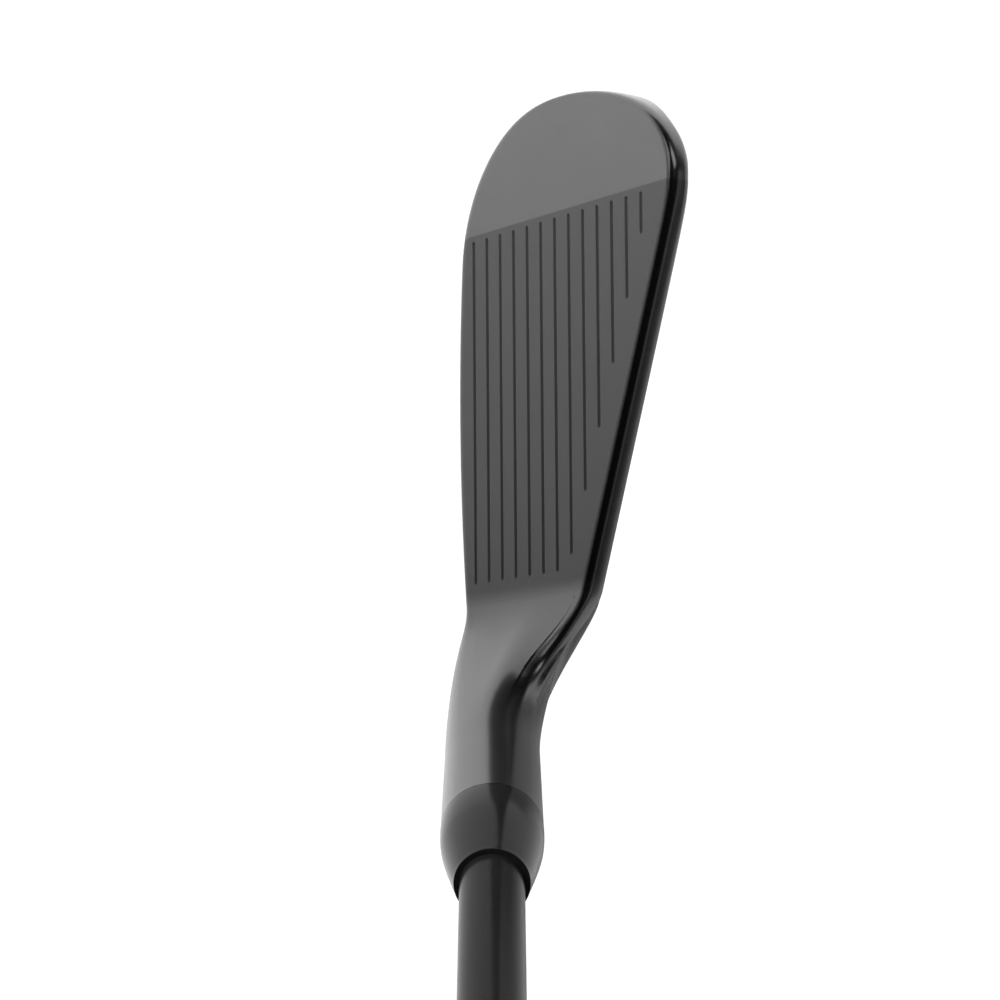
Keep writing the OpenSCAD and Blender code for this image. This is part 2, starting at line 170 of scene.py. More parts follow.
def low_rail(a):
    """Lower outline: a superellipse quarter under the toe, then a parabola along the sole."""
    x = np.clip((SOLE_A - a) / (SOLE_A - TOE_A), 0, 1)
    e = (1 - x**FULL_LOWER) ** (1 / FULL_LOWER)
    return mix(TOE_S, SOLE_S + a * a / BOW, e)


def along(v):
    """v from 0 to 1 goes round the toe by a cosine, from 1 to 2 straight to the heel."""
    v = np.maximum(v, 0)
    toe = mix(TOE_A, PEAK_A, 1 - np.cos(np.clip(v, 0, 1) * math.pi / 2))
    return np.where(v <= 1, toe, mix(PEAK_A, HEEL_A, v - 1))


def rail(v, height, sign):
    """Point on an outline and its outward normal, from a small difference along it."""
    step = 1e-4
    at = lambda q: np.stack([along(q), height(along(q))], -1)
    way = at(v + step) - at(np.maximum(v - step, 0))
    way /= np.linalg.norm(way, axis=-1, keepdims=True)
    return at(v), sign * np.stack([-way[:, 1], way[:, 0]], -1)


def edge_section(out):
    """Section of the edge: topline, toe and sole sections shared out by the outline's outward normal."""
    q = out[:, 1][:, None, None]
    top, low = ease(1.35 * q), ease(-1.15 * q)
    return TOE_EDGE * (1 - top - low) + TOP_EDGE * top + SOLE_EDGE * low


def hosel_radius(t):
    """Straight taper from the forging up to the ferrule."""
    return mix(HOSEL_R_LOW, HOSEL_R_TOP, np.clip((t - TAPER_T) / (SEAM_T - TAPER_T), 0, 1))


def on_round(t, angle, radius):
    """Point at height t along the shaft axis, angle round it from the toe side to the front, radius out."""
    t, angle, radius = np.broadcast_arrays(t, angle, radius)
    out = np.cos(angle)[..., None] * TOE_SIDE + np.sin(angle)[..., None] * FRONT_SIDE
    return FOOT + t[..., None] * AXIS + radius[..., None] * out


# ---------------------------------------------------------------------------
# Mesh making
# ---------------------------------------------------------------------------
def grid_faces(rows, cols, wrap):
    """Quads of a grid of rows x cols points; wrap joins the last column to the first."""
    j, k = np.meshgrid(np.arange(rows - 1), np.arange(cols if wrap else cols - 1), indexing="ij")
    n = (k + 1) % cols
    low, high = j * cols, (j + 1) * cols
    return np.stack([low + k, low + n, high + n, high + k], -1).reshape(-1, 4)


def smoothed(mesh, sharp):
    """Smooth shading but for edges that turn more than sharp degrees."""
    mesh.shade_smooth()
    mesh.set_sharp_from_angle(angle=math.radians(sharp))


def new_piece(name, points, quads, tris=None, sharp=32.0):
    """Object of that name from points in millimetres and arrays of the points' numbers in each face."""
    tris = np.zeros((0, 3), int) if tris is None else tris
    mesh = bpy.data.meshes.new(name)
    mesh.vertices.add(len(points))
    mesh.vertices.foreach_set("co", np.ascontiguousarray(points * MM, dtype=np.float32).ravel())
    loops = np.concatenate([quads.ravel(), tris.ravel()]).astype(np.int32)
    counts = np.concatenate([np.full(len(quads), 4), np.full(len(tris), 3)])
    mesh.loops.add(len(loops))
    mesh.loops.foreach_set("vertex_index", loops)
    mesh.polygons.add(len(counts))
    starts = np.concatenate([[0], np.cumsum(counts)[:-1]])
    mesh.polygons.foreach_set("loop_start", starts.astype(np.int32))
    mesh.update(calc_edges=True)
    mesh.validate()
    smoothed(mesh, sharp)
    piece = bpy.data.objects.new(name, mesh)
    bpy.context.scene.collection.objects.link(piece)
    return piece


def merged(name, points, quads, tris=None, sharp=32.0):
    """Piece whose coinciding points are joined and whose empty faces are dropped, facing outwards."""
    piece = new_piece(name, points, quads, tris, sharp)
    form = bmesh.new()
    form.from_mesh(piece.data)
    bmesh.ops.remove_doubles(form, verts=form.verts, dist=2e-7)
    bmesh.ops.dissolve_degenerate(form, edges=form.edges, dist=1e-7)
    bmesh.ops.recalc_face_normals(form, faces=form.faces)
    form.to_mesh(piece.data)
    form.free()
    smoothed(piece.data, sharp)
    return piece


def in_box(points):
    """Points held inside the frame's own box, against rounding past its faces."""
    low, high = (np.array(corner) / MM for corner in CAD_BOX)
    return np.clip(points, low, high)


def lathe(name, profile, around=160, sharp=32.0, bumps=None):
    """Closed profile of (radius, height along the shaft axis) carried round the axis, as a ring shape.
    bumps(t, angle) adds to the radius."""
    angle = np.arange(around)[None, :] * 2 * math.pi / around
    r, t = profile[:, :1], profile[:, 1:]
    r = np.broadcast_to(r, (len(profile), around)) + (0 if bumps is None else bumps(t, angle))
    rings = on_round(t, angle, r)
    quads = grid_faces(len(profile) + 1, around, True) % (len(profile) * around)
    return new_piece(name, in_box(rings.reshape(-1, 3)), quads, sharp=sharp)


# ---------------------------------------------------------------------------
# Shader making
# ---------------------------------------------------------------------------
class Wire:
    """A socket that adds its Math node when it is used in an expression."""

    def __init__(self, sheet, socket):
        self.sheet, self.socket = sheet, socket

    def math(self, operation, *values):
        return self.sheet.node("ShaderNodeMath", {"operation": operation}, values)

    def __add__(self, other):
        return self.math("ADD", self, other)

    def __sub__(self, other):
        return self.math("SUBTRACT", self, other)

    def __rsub__(self, other):
        return self.math("SUBTRACT", other, self)

    def __mul__(self, other):
        return self.math("MULTIPLY", self, other)

    __radd__, __rmul__ = __add__, __mul__

    def between(self, low, high):
        """0 at low and under, 1 at high and over, eased."""
        return self.sheet.node(
            "ShaderNodeMapRange",
            {"interpolation_type": "SMOOTHSTEP"},
            {"Value": self, "From Min": low, "From Max": high},
        )


class Sheet:
    """A node tree and the ways to add to it."""

    def __init__(self, tree):
        self.tree = tree
        tree.nodes.clear()

    def node(self, kind, settings=None, inputs=None, output=0):
        """Adds a node of that kind and gives its output. settings are its properties; inputs are values or
        Wires, in order or by socket name or number."""
        made = self.tree.nodes.new(kind)
        for key, value in (settings or {}).items():
            setattr(made, key, value)
        pairs = enumerate(inputs) if isinstance(inputs, (list, tuple)) else (inputs or {}).items()
        for key, value in pairs:
            if isinstance(value, Wire):
                self.tree.links.new(value.socket, made.inputs[key])
            else:
                made.inputs[key].default_value = value
        return Wire(self, made.outputs[output]) if made.outputs else None

    def axes(self, vector):
        """The three parts of a vector."""
        outs = self.node("ShaderNodeSeparateXYZ", {}, [vector]).socket.node.outputs
        return [Wire(self, outs[k]) for k in range(3)]


class Finish(Sheet):
    """One material and the nodes in it."""

    def __init__(self, name, **fixed):
        self.material = bpy.data.materials.new(name)
        self.material.use_nodes = True
        super().__init__(self.material.node_tree)
        self.shader = self.tree.nodes.new("ShaderNodeBsdfPrincipled")
        self.out = self.tree.nodes.new("ShaderNodeOutputMaterial")
        self.tree.links.new(self.shader.outputs[0], self.out.inputs[0])
        for key, value in fixed.items():
            self.shader.inputs[key.replace("_", " ")].default_value = value

    def place(self):
        """Object coordinates of the piece, as a vector."""
        return self.node("ShaderNodeTexCoord", output="Object")

    def turned(self, angle, scale=(1, 1, 1)):
        """Object coordinates turned about Y by angle and scaled."""
        spin = self.node("ShaderNodeMapping", {}, {"Vector": self.place(), "Rotation": (0, angle, 0)})
        return self.node("ShaderNodeMapping", {}, {"Vector": spin, "Scale": scale})

    def noise(self, vector, scale, detail):
        """Noise from 0 to 1, scale cells to the metre."""
        sockets = {"Vector": vector, "Scale": scale, "Detail": detail, "Roughness": 0.5}
        return self.node("ShaderNodeTexNoise", {}, sockets)

    def grey(self, value):
        """A colour whose three parts are one value."""
        return self.node("ShaderNodeCombineColor", {}, [value, value, value])

    def tint(self, mask, first, second):
        """Colour first where mask is 0, second where it is 1. A Mix node's colour sockets are 6, 7 and 2."""
        return self.node("ShaderNodeMix", {"data_type": "RGBA"}, {0: mask, 6: first, 7: second}, output=2)

    def feed(self, socket, wire):
        """Leads a wire to a socket of the shader."""
        self.tree.links.new(wire.socket, self.shader.inputs[socket])

    def bump(self, height, distance, strength):
        """Raises the surface by height times distance, in metres."""
        sockets = {"Height": height, "Distance": distance, "Strength": strength}
        self.feed("Normal", self.node("ShaderNodeBump", {}, sockets))


def wear(piece, finish):
    """Puts one finish on a piece."""
    piece.data.materials.clear()
    piece.data.materials.append(finish.material)


def forged_finish(look):
    """Dark steel: satin at the toe, blasted between the limits, polished at heel and hosel, with painted
    shade that grows darker from toe to heel outside the polished heel.
    """
    f = Finish("forged dark steel", Metallic=1.0)
    x, y, z = f.axes(f.place())
    behind = (y + SETBACK * MM) * math.cos(LOFT) - (z - LIFT * MM) * math.sin(LOFT)
    front = behind.between(0.25 * MM, 0.02 * MM)
    heel = x.between(*(limit * MM for limit in HEEL_LIMIT))
    toe = x.between(*(limit * MM for limit in TOE_LIMIT))
    rest = (1 - toe) * (1 - heel)
    cloud = f.noise(f.place(), 60, 3)
    shade = toe * look.toe_shade + heel * look.heel_shade + rest * look.blast_shade
    # Painted shade: the grey falls in a straight line from toe to heel, leaving the polished heel alone.
    f.feed("Base Color", f.grey(shade * (0.94 + 0.12 * cloud) * (1 - look.fade * x * (1 - heel))))
    rough = toe * (0.22 + 0.14 * front) + heel * 0.24 + rest * (0.22 + 0.2 * front)
    streak = f.noise(f.turned(AXIS_TURN, (900, 900, 25)), 1.0, 3)
    f.feed("Roughness", rough + (streak - 0.5) * 0.08)
    grit = f.noise(f.place(), 5200, 2)
    f.bump(grit * 0.6 + streak * 0.4, 0.000012, 0.5)
    return f


def plate_finish(look):
    """Dark blasted steel with a fine even grit, a faint cloud and painted shade that grows darker from toe to
    heel.
    """
    f = Finish("blasted dark steel", Metallic=1.0)
    cloud = f.noise(f.place(), 45, 3)
    x, _, _ = f.axes(f.place())
    # Painted shade: the grey falls in a straight line from toe to heel.
    f.feed("Base Color", f.grey(look.blast_shade * (0.93 + 0.14 * cloud) * (1 - look.fade * x)))
    grit = f.noise(f.place(), 5200, 2)
    f.feed("Roughness", 0.42 + (grit - 0.5) * 0.1)
    f.bump(grit, 0.000014, 0.5)
    return f


def ferrule_finish(look):
    """Polished dark plastic with faint turning marks round the shaft axis."""
    f = Finish("ferrule plastic", Specular_IOR_Level=0.14, IOR=1.5)
    turned = f.turned(AXIS_TURN, (0, 0, 1))
    rings = f.noise(turned, 3000, 2)
    cloud = f.noise(f.place(), 150, 2)
    f.feed("Base Color", f.grey(look.ferrule_shade * (0.9 + 0.2 * cloud)))
    f.feed("Roughness", 0.14 + rings * 0.08)
    f.bump(rings, 0.0000005, 0.3)
    return f


def shaft_finish(look):
    """Glossy black coating over steel, with a slight orange peel."""
    f = Finish("black shaft coating", Specular_IOR_Level=0.03, IOR=1.5)
    peel = f.noise(f.turned(AXIS_TURN, (1, 1, 0.35)), 420, 2)
    f.feed("Base Color", f.grey(look.shaft_shade * (0.85 + 0.3 * peel)))
    f.feed("Roughness", 0.16 + peel * 0.08)
    f.bump(peel, 0.00001, 0.25)
    return f


def rubber_finish(name, look):
    """Black rubber with a fine moulded grain."""
    f = Finish(name, IOR=1.5)
    grain = f.noise(f.place(), 2600, 3)
    cloud = f.noise(f.place(), 30, 2)
    f.feed("Base Color", f.grey(look.rubber_shade * (0.75 + 0.5 * cloud)))
    f.feed("Roughness", 0.55 + grain * 0.25)
    f.bump(grain, 0.00006, 0.5)
    return f


def plain_finish(name, colour, metallic, rough, scale, depth):
    """A plain workshop finish for pieces inside the club: a little cloud in the colour, a fine bump."""
    f = Finish(name, Metallic=metallic)
    cloud = f.noise(f.place(), scale, 3)
    dark = tuple(c * 0.8 for c in colour) + (1,)
    f.feed("Base Color", f.tint(cloud, dark, tuple(colour) + (1,)))
    f.feed("Roughness", rough + (cloud - 0.5) * 0.15)
    f.bump(cloud, depth, 0.4)
    return f


# ---------------------------------------------------------------------------
# What a user may change
# ---------------------------------------------------------------------------
class ClubLook(bpy.types.PropertyGroup):
    """Greys of the finishes, the painted shade towards the heel and sizes of the fine detail."""

    toe_shade: FloatProperty(name="Toe", description="Grey of the satin toe", default=0.105, min=0, max=1)
    blast_shade: FloatProperty(
        name="Blast", description="Grey of the blasted face", default=0.07, min=0, max=1
    )
    heel_shade: FloatProperty(
        name="Heel", description="Grey of the polished heel and hosel", default=0.105, min=0, max=1
    )
    ferrule_shade: FloatProperty(
        name="Ferrule", description="Grey of the ferrule", default=0.006, min=0, max=1
    )
    shaft_shade: FloatProperty(
        name="Shaft", description="Grey of the shaft coating", default=0.008, min=0, max=1
    )
    rubber_shade: FloatProperty(
        name="Grip", description="Grey of the grip rubber", default=0.02, min=0, max=1
    )
    # Painted shade: the share of grey per metre that the blade and plate lose towards the heel.
    fade: FloatProperty(
        name="Fade", description="Share of grey that the blade loses in a metre towards the heel", default=7
    )
    line_width: FloatProperty(
        name="Scoreline width", description="Width of a scoreline", default=0.00074, unit="LENGTH"
    )
    line_depth: FloatProperty(
        name="Scoreline depth", description="Depth of a scoreline", default=0.00022, unit="LENGTH"
    )
    line_pitch: FloatProperty(
        name="Scoreline spacing", description="From one scoreline to the next", default=0.0036, unit="LENGTH"
    )


class StudioLook(bpy.types.PropertyGroup):
    """Floor and light."""

    floor_shade: FloatProperty(name="Floor", description="Grey of the floor", default=0.8, min=0, max=1)
    floor_glow: FloatProperty(name="Clean white", description="White of the clear floor", default=1.1, min=0)
    sky: FloatProperty(name="Room", description="Light from the room all round", default=0.03, min=0)
    front_glow: FloatProperty(name="Front glow", description="Light low in front", default=0.5, min=0)
    low_glow: FloatProperty(name="Low glow", description="Light round the horizon", default=0.12, min=0)
    front_power: FloatProperty(name="Front", description="Front softbox", default=17, unit="POWER")
    strip_power: FloatProperty(name="Strip", description="Strip behind", default=0.34, unit="POWER")
    card_power: FloatProperty(name="Cards", description="Large dim cards", default=1.8, unit="POWER")
    back_power: FloatProperty(name="Back", description="Back softbox", default=3.5, unit="POWER")


# ---------------------------------------------------------------------------
# Pieces
# ---------------------------------------------------------------------------
def head_lines():
    """v of each blade section: close round the toe, closest at the cavity's toe wall, doubled at the plate's
    ends, close again at the cavity's heel wall."""
    to_v = lambda a: 1 + (a - PEAK_A) / (HEEL_A - PEAK_A)
    toe = [
        [0.0, 0.004, 0.012],
        np.linspace(0.025, 0.54, 36),
        np.linspace(0.552, 0.70, 30),
        np.linspace(0.715, 0.985, 20),
        [1.0],
    ]
    straight = [
        [-PLATE_HALF - SEAM_GAP, -PLATE_HALF],
        np.linspace(-26.0, 22.0, 76),
        np.linspace(22.3, 26.1, 16),
        [PLATE_HALF, PLATE_HALF + SEAM_GAP],
        [26.6, 27.0, 27.4, 27.8, 28.1, HEEL_A],
    ]
    return np.concatenate(toe + [to_v(np.array(part)) for part in straight])


def edge_points(rail_points, out, count):
    """Edge section set on a rail: its first size runs along the outward normal, its second goes behind
    the face."""
    edge = spline(edge_section(out), np.linspace(0, 1, count))
    return np.concatenate([rail_points[:, None] + edge[..., :1] * out[:, None], edge[..., 1:]], -1)


def face_points(v, top, low):
    """Lines up the face: a doubled line at each side of the plate's seat, the seat sunk between them. The
    margin beside the seat closes towards the toe, where the blade's height does."""
    height = (top - low)[:, 1:]
    margin = PLATE_MARGIN * np.clip(height / 12, 0, 1)
    share = np.linspace(0, 1, FACE_LINES)
    lower_side, upper_side = np.array([0.4, 0.75, 0.997]), np.array([0.997, 0.75, 0.4])
    rise = [
        margin * lower_side,
        margin * 1.003 + (height - 2.006 * margin) * share,
        height - margin * upper_side,
    ]
    rise = np.concatenate(rise, 1)
    inside = np.abs(along(v)) < PLATE_HALF + SEAM_GAP / 2
    sunk = np.zeros_like(rise)
    sunk[inside, 3:-3] = PLATE_DEPTH
    return np.stack([np.broadcast_to(along(v)[:, None], rise.shape), low[:, 1:] + rise, sunk], -1)


def back_points(v, top, first, last):
    """Lines down the back from first to last, on the back's own curve. They keep to fixed heights along the
    upper and lower walls of the cavity, and spread evenly towards the toe and the heel. Gives the points
    and their shares g of the way down."""
    curve_g = np.linspace(0, 1, 400)
    curve = spline(BACK_LINE, curve_g)
    high, foot = first[:, 1:2], last[:, 1:2]
    rim = top[:, 1:] - CAVITY_RIM * math.sqrt(1 + SLOPE**2)
    wall = np.linspace(0, 1.6, 9)
    marks = [
        mix(high, rim, np.linspace(0.08, 0.94, 10)),
        rim - wall,
        mix(rim - 1.8, CAVITY_S + 1.8, np.linspace(0.04, 0.96, 18)),
        np.broadcast_to(CAVITY_S + wall[::-1], (len(v), 9)),
        mix(CAVITY_S - 0.1, foot, np.linspace(0.03, 0.985, 30)),
    ]
    want = (high - np.concatenate(marks, 1)) / np.maximum(high - foot, 1e-6)
    even = np.linspace(0, 1, want.shape[1] + 2)[1:-1]
    keep = ease((v - 0.25) / 0.25)[:, None] * (1 - ease((v - 1.94) / 0.06))[:, None]
    g = mix(even, np.interp(np.clip(want, 0, 1), curve[:, 0], curve_g), keep)
    g = np.maximum.accumulate(g, axis=1)
    down, behind = (np.interp(g, curve_g, curve[:, k])[..., None] for k in range(2))
    first, span = first[:, None], (last - first)[:, None]
    outline = first[..., :2] + span[..., :2] * down
    return np.concatenate([outline, first[..., 2:] + span[..., 2:] * behind], -1), g


def cavity_depth(a, s):
    """Distance inside the cavity's outline: a soft minimum of the distances to its five walls."""
    walls = [
        (top_rail(a) - s) / math.sqrt(1 + SLOPE**2) - CAVITY_RIM,
        s - CAVITY_S,
        a - CAVITY_TOE,
        CAVITY_HEEL - a,
        (a - TOE_A) * 0.8 - (s - 37.0) * 0.62 - 0.2,
    ]
    near = np.clip(np.stack(walls), -12, 60)
    return -CAVITY_ROUND * np.log(np.exp(-near / CAVITY_ROUND).sum(0))


def blade_sections(v):
    """Closed sections of the blade at v: up the face, over the topline, down the back, under the sole.
    Also gives a key for each point: 0 to 2 up the face, to 4 over the topline, to 6 down the back, to 8
    under the sole."""
    top, top_out = rail(v, top_rail, 1)
    low, low_out = rail(v, low_rail, -1)
    upper = edge_points(top, top_out, EDGE_LINES)
    lower = edge_points(low, low_out, EDGE_LINES)
    face = face_points(v, top, low)
    back, g = back_points(v, top, upper[:, -1], lower[:, -1])
    sink = ease(cavity_depth(back[..., 0], back[..., 1]) / CAVITY_WALL)
    back[..., 2] = mix(back[..., 2], np.minimum(back[..., 2], CAVITY_FLOOR), sink)

    loop = np.concatenate([face, upper, back, lower[:, ::-1]], 1)
    keys = [
        np.linspace(0, 2, face.shape[1] + 2)[1:-1],
        np.linspace(2, 4, EDGE_LINES),
        4 + 2 * g[-1],
        np.linspace(6, 8, EDGE_LINES),
    ]
    return from_face(loop[..., 0], loop[..., 1], loop[..., 2]), np.concatenate(keys)


def pulled(values, keys):
    """Eight values round the section, eased from one to the next."""
    k = np.minimum(keys.astype(int), 7)
    return mix(values[k], values[(k + 1) % 8], ease(keys - k))[:, None]


def heel_sweep(section, keys, leave, angle, start):
    """Rings from the blade's last section to the hosel. Each point follows a cubic that sets off along leave
    and arrives along the shaft axis, with pulls in shares of its straight distance."""
    seat = on_round(start, angle, hosel_radius(start))
    span = np.linalg.norm(seat - section, axis=1, keepdims=True)
    f = np.linspace(0, 1, 56)[1:][:, None, None]
    return (
        (2 * f**3 - 3 * f**2 + 1) * section
        + (f**3 - 2 * f**2 + f) * leave * span * pulled(BLADE_PULL, keys)
        + (3 * f**2 - 2 * f**3) * seat
        + (f**3 - f**2) * AXIS * span * pulled(HOSEL_PULL, keys)
    )


def head_rings():
    """Blade sections, the sweep to the hosel, then the hosel and its bore."""
    blade, keys = blade_sections(head_lines())
    near, _ = blade_sections(np.array([1.97, 2.0]))
    leave = near[1] - near[0]
    leave /= np.linalg.norm(leave, axis=1, keepdims=True)
    angle = np.radians(np.interp(keys, [0, 2, 4, 6, 8], SEATS))
    start = START_T + START_LEAN * np.cos(angle) + START_TURN * np.sin(angle)
    heel = heel_sweep(blade[-1], keys, leave, angle, start)
    t = mix(start, SEAM_T, np.linspace(0, 1, 12)[1:][:, None])
    hosel = on_round(t, angle[None], hosel_radius(t))
    bore = on_round(np.array([[SEAM_T], [SEAM_T - BORE_DEPTH]]), angle[None], np.array([[BORE_R]]))
    return np.concatenate([blade, heel, hosel, bore])


def scoreline_ends(look):
    """Height up the face and the two ends of each scoreline. The upper ones stop short of the topline."""
    s = LINE_FIRST_S + np.arange(LINES) * look.line_pitch / MM
    heel = np.minimum(LINE_END, (PEAK_S - s) / SLOPE + BEND_A - LINE_GAP)
    return s, np.full(LINES, -LINE_END), heel


def scoreline_depth(look, a, s):
    """Depth at each point: a channel with round ends and rounded lips along each scoreline."""
    half, deep = look.line_width / MM / 2, look.line_depth / MM
    depth = np.zeros(a.shape)
    for height, toe, heel in zip(*scoreline_ends(look)):
        near = np.clip(a, toe + half, heel - half)
        away = np.hypot(a - near, s - height)
        depth = np.maximum(depth, deep * ease((half + 0.04 - away) / 0.36))
    return depth


def spaced(values):
    """The values in order, without those closer than 0.012 mm to the one before."""
    values = np.sort(values)
    return values[np.concatenate([[True], np.diff(values) > 0.012])]


def plate_lines(look):
    """Lines along and up the face, close together at the lips and ends of the scorelines."""
    half = look.line_width / MM / 2
    s, toe, heel = scoreline_ends(look)
    lip = np.array([-0.14, -0.08, -0.03, 0.02, 0.07, 0.13, 0.2])
    across = np.concatenate([-half + lip, half - lip[::-1]])
    between = [s[:-1] + 1.3, s[:-1] + 2.3]
    up = np.concatenate([(s[:, None] + across).ravel(), s, *between, np.linspace(0, 60, 41)])
    ends = np.unique(np.concatenate([toe, heel]).round(3))
    near_ends = (ends[:, None] + np.linspace(-0.55, 0.55, 12)).ravel()
    lengthwise = np.concatenate([near_ends, np.linspace(-PLATE_HALF, PLATE_HALF, 60)])
    return spaced(np.clip(lengthwise, -PLATE_HALF, PLATE_HALF)), spaced(up)


def build_plate(look):
    """The plate's front is a height field over a grid held inside its outline. Its back is the same grid laid
    flat, and its sides join the two round the rim."""
    a, s = plate_lines(look)
    low, top = low_rail(a) + PLATE_MARGIN, top_rail(a) - PLATE_MARGIN
    s = s[(s > low.min()) & (s < top.max())]
    beyond = 99.0  # above every point of the outline, so the clip sets it on the upper edge
    a, s = np.meshgrid(a, np.concatenate([[0.0], s, [beyond]]), indexing="ij")
    s = np.clip(s, low[:, None], top[:, None])
    front = from_face(a, s, scoreline_depth(look, a, s))
    rear = from_face(a, s, PLATE_DEPTH)
    n, m = s.shape
    count = n * m
    quads = grid_faces(n, m, False)
    index = np.arange(count).reshape(n, m)
    rim = np.concatenate([index[:, 0], index[-1, 1:], index[::-1, -1][1:], index[0, ::-1][1:-1]])
    after = np.roll(rim, -1)
    sides = np.stack([rim, rim + count, after + count, after], -1)
    faces = np.concatenate([quads, quads[:, ::-1] + count, sides])
    points = np.concatenate([front.reshape(-1, 3), rear.reshape(-1, 3)])
    return merged("face_plate_cut", points, faces, sharp=28)


def ready(piece, finish, node):
    """Gives a piece its finish and its place on the club, and hides the frame node it stands for."""
    wear(piece, finish)
    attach(piece, "root")
    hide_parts(node)


class CLUB_OT_head(bpy.types.Operator):
    """Builds the forged head with its hosel, the plate's seat and the back cavity"""

    bl_idname = "club.head"
    bl_label = "Forged head"

    def execute(self, context):
        rings = head_rings()
        n, m = rings.shape[:2]
        hub, k = n * m, np.arange(m)
        bore_floor = np.stack([np.full(m, hub), (n - 1) * m + k, (n - 1) * m + (k + 1) % m], -1)
        points = np.concatenate([rings.reshape(-1, 3), [FOOT + (SEAM_T - BORE_DEPTH) * AXIS]])
        piece = merged("forged_head", in_box(points), grid_faces(n, m, True), bore_floor)
        ready(piece, forged_finish(context.scene.club_look), "head_body")
        return {"FINISHED"}


class CLUB_OT_plate(bpy.types.Operator):
    """Builds the hitting plate with its scorelines"""

    bl_idname = "club.plate"
    bl_label = "Hitting plate"

    def execute(self, context):
        look = context.scene.club_look
        ready(build_plate(look), plate_finish(look), "face_plate")
        return {"FINISHED"}


class CLUB_OT_ferrule(bpy.types.Operator):
    """Builds the ferrule"""

    bl_idname = "club.ferrule"
    bl_label = "Ferrule"

    def execute(self, context):
        side = spline(FERRULE_SIDE, np.linspace(0, 1, 60))
        lip = spline(FERRULE_LIP, np.linspace(0, 1, 10))[1:]
        foot, end = [(TIP_R, 0.0), (FERRULE_BASE, 0.0)], [(TIP_R, FERRULE_LENGTH)]
        profile = np.concatenate([foot, side, lip, end])
        profile[:, 1] += SEAM_T
        piece = lathe("turned_ferrule", profile, sharp=40)
        ready(piece, ferrule_finish(context.scene.club_look), "ferrule")
        return {"FINISHED"}


def shaft_profile(start, end, more):
    """Radius and height of the stepped tube from start to end, with more added to its radius: straight
    lengths with short cones between."""
    step_t = TIP_T + TIP_LENGTH + np.arange(STEPS) * STEP_PITCH
    rise = (BUTT_R - TIP_R) / STEPS
    t = [step_t, step_t + STEP_RUN, step_t - 0.5, step_t + STEP_RUN + 0.5, [start, end]]
    t = np.sort(np.concatenate(t))
    t = t[(t >= start) & (t <= end)]
    r = TIP_R + rise * np.clip((t[:, None] - step_t) / STEP_RUN, 0, 1).sum(1)
    return np.stack([r + more, t], -1)


class CLUB_OT_shaft(bpy.types.Operator):
    """Builds the stepped steel shaft, a tube open at both ends"""

    bl_idname = "club.shaft"
    bl_label = "Stepped shaft"

    def execute(self, context):
        outer = shaft_profile(TIP_T, BUTT_T, 0)
        inner = shaft_profile(TIP_T, BUTT_T, -WALL)
        piece = lathe("stepped_shaft", np.concatenate([outer, inner[::-1]]), 128, 25)
        ready(piece, shaft_finish(context.scene.club_look), "shaft")
        return {"FINISHED"}


def grip_pattern(t, angle):
    """Moulded pattern: rows of small pits in staggered order, cut where the product of two slanted cosines is
    high, between plain bands at mouth and butt, and a shallow collar near the mouth."""
    u = angle * 24 / (2 * math.pi)
    row = (t - MOUTH_T) / 4.0
    wave = np.cos(2 * math.pi * (u + 0.5 * row)) * np.cos(2 * math.pi * (u - 0.5 * row))
    band = ease((t - MOUTH_T - 14) / 4) * ease((CAP_T - 12 - t) / 4)
    collar = 0.25 * (ease((t - MOUTH_T - 8) / 0.8) - ease((t - MOUTH_T - 10) / 0.8))
    return -0.32 * band * ease((wave - 0.1) / 0.5) - collar


def grip_profile():
    """Outside of the grip on one soft curve from mouth to cap, and its inside over the taped shaft. Also
    gives a mask that is 1 outside and 0 inside."""
    curve = [
        (GRIP_R_MOUTH - 0.8, MOUTH_T),
        (GRIP_R_MOUTH, MOUTH_T),
        (GRIP_R_MOUTH + 0.25, MOUTH_T + 14),
        (GRIP_R_MOUTH + 1.3, MOUTH_T + 90),
        (GRIP_R_BUTT - 2.4, CAP_T - 60),
        (GRIP_R_BUTT, CAP_T - 22),
        (GRIP_R_BUTT, CAP_T),
    ]
    fine = spline(np.array(curve), np.linspace(0, 1, 3000))
    lip = MOUTH_T + 1.5
    t = np.concatenate([np.linspace(MOUTH_T, lip, 10)[:-1], np.arange(lip, CAP_T, 0.72), [CAP_T]])
    outer = np.stack([np.interp(t, fine[:, 1], fine[:, 0]), t], -1)
    inner = shaft_profile(MOUTH_T, BUTT_T, TAPE)
    inner = np.concatenate([[(BUTT_R + TAPE, CAP_T)], inner[::-1]])
    outside = np.concatenate([np.ones(len(outer)), np.zeros(len(inner))])[:, None]
    return np.concatenate([outer, inner]), outside


class CLUB_OT_grip(bpy.types.Operator):
    """Builds the rubber grip and its cap"""

    bl_idname = "club.grip"
    bl_label = "Grip and cap"

    def execute(self, context):
        look = context.scene.club_look
        profile, outside = grip_profile()
        bumps = lambda t, angle: outside * grip_pattern(t, angle)
        grip = lathe("rubber_grip", profile, 192, 50, bumps)
        ready(grip, rubber_finish("moulded rubber", look), "grip_sleeve")

        spigot = [(BUTT_R + TAPE, -SPIGOT), (BUTT_R + TAPE, 0)]
        edge = spline(CAP_EDGE, np.linspace(0, 1, 24))
        vent = [(2.1, CAP_THICK), (1.8, 3.3), (VENT_R, 3.0), (VENT_R, 0), (SPIGOT_R, 0), (SPIGOT_R, -SPIGOT)]
        profile = np.concatenate([spigot, edge, CAP_RINGS, vent])
        profile[:, 1] += CAP_T
        cap = lathe("grip_cap_moulded", profile, 128, 35)
        ready(cap, rubber_finish("cap compound", look), "grip_cap")
        return {"FINISHED"}


